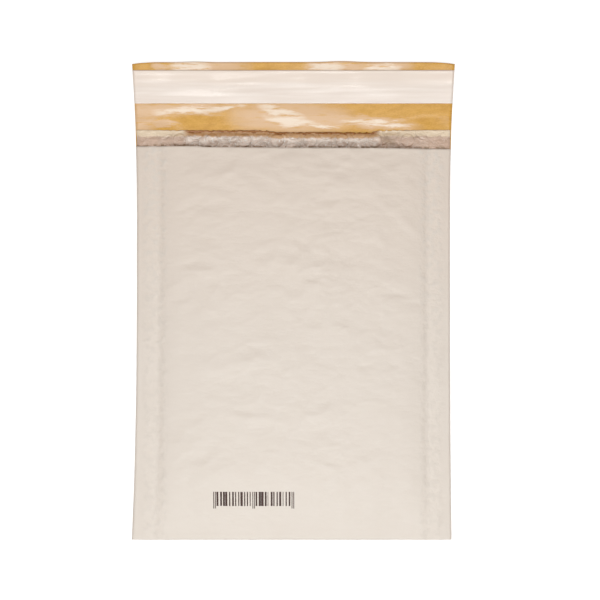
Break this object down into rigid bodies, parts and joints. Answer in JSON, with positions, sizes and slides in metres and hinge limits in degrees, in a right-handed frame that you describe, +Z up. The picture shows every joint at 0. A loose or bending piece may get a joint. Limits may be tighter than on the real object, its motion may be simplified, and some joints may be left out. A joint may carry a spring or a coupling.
{
  "type": "padded envelope",
  "caption": "Empty padded mailing envelope lying on its back: white kraft paper pocket lined with bubble film, flap laid open with its adhesive strip under a release liner.",
  "frame": {"origin": "on the table, under the middle of the outline's bounding box", "axes": "+Y along the envelope from the bottom fold to the flap's free edge, +Z up out of the front panel, +X to the right seen from above with the flap away from the viewer"},
  "size_m": [0.2186, 0.3236, 0.0126],
  "materials": {
    "white_kraft_paper": "white outside, brown kraft inside, slightly glossy where it is coated for sealing",
    "bubble_film": "clear, soft air-bubble film",
    "adhesive": "tacky pressure-sensitive glue",
    "release_liner": "glossy silicone-coated paper"
  },
  "bodies": {
    "root": {"paper_envelope": "white_kraft_paper", "bubble_lining": "bubble_film", "adhesive_strip": "adhesive", "release_liner": "release_liner"}
  },
  "joints": []
}
